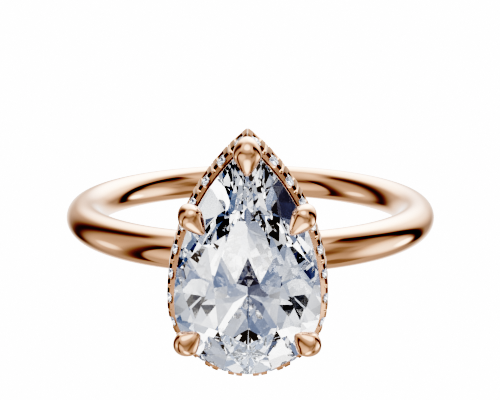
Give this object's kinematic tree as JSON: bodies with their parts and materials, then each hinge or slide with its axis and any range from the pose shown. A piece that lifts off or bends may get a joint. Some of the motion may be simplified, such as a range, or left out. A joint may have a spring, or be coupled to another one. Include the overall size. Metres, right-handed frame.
{
  "type": "engagement ring",
  "caption": "Rose-gold solitaire ring with a plain round-wire band, a pear brilliant held by teardrop claws, and a hidden halo of small round brilliants under its edge.",
  "frame": {"origin": "centre of the finger hole, on the middle plane of the band", "axes": "+Z along the finger, towards the pear's tip; -Y out through the stone's table; +X across the stone"},
  "size_m": [0.0204, 0.0244, 0.0113],
  "materials": {
    "rose_gold": "mirror polished",
    "diamond": "polished facets"
  },
  "bodies": {
    "root": {"shank": "rose_gold", "left_foot": "rose_gold", "right_foot": "rose_gold", "gallery_rail": "rose_gold", "halo_rail": "rose_gold", "tip_claw": "rose_gold", "upper_left_claw": "rose_gold", "upper_right_claw": "rose_gold", "lower_left_claw": "rose_gold", "lower_right_claw": "rose_gold", "centre_stone": "diamond", "melee_01": "diamond", "melee_02": "diamond", "melee_03": "diamond", "melee_04": "diamond", "melee_05": "diamond", "melee_06": "diamond", "melee_07": "diamond", "melee_08": "diamond", "melee_09": "diamond", "melee_10": "diamond", "melee_11": "diamond", "melee_12": "diamond", "melee_13": "diamond", "melee_14": "diamond", "melee_15": "diamond", "melee_16": "diamond", "melee_17": "diamond", "melee_18": "diamond", "melee_19": "diamond", "melee_20": "diamond", "melee_21": "diamond", "melee_22": "diamond", "melee_23": "diamond", "melee_24": "diamond", "melee_25": "diamond"}
  },
  "joints": []
}
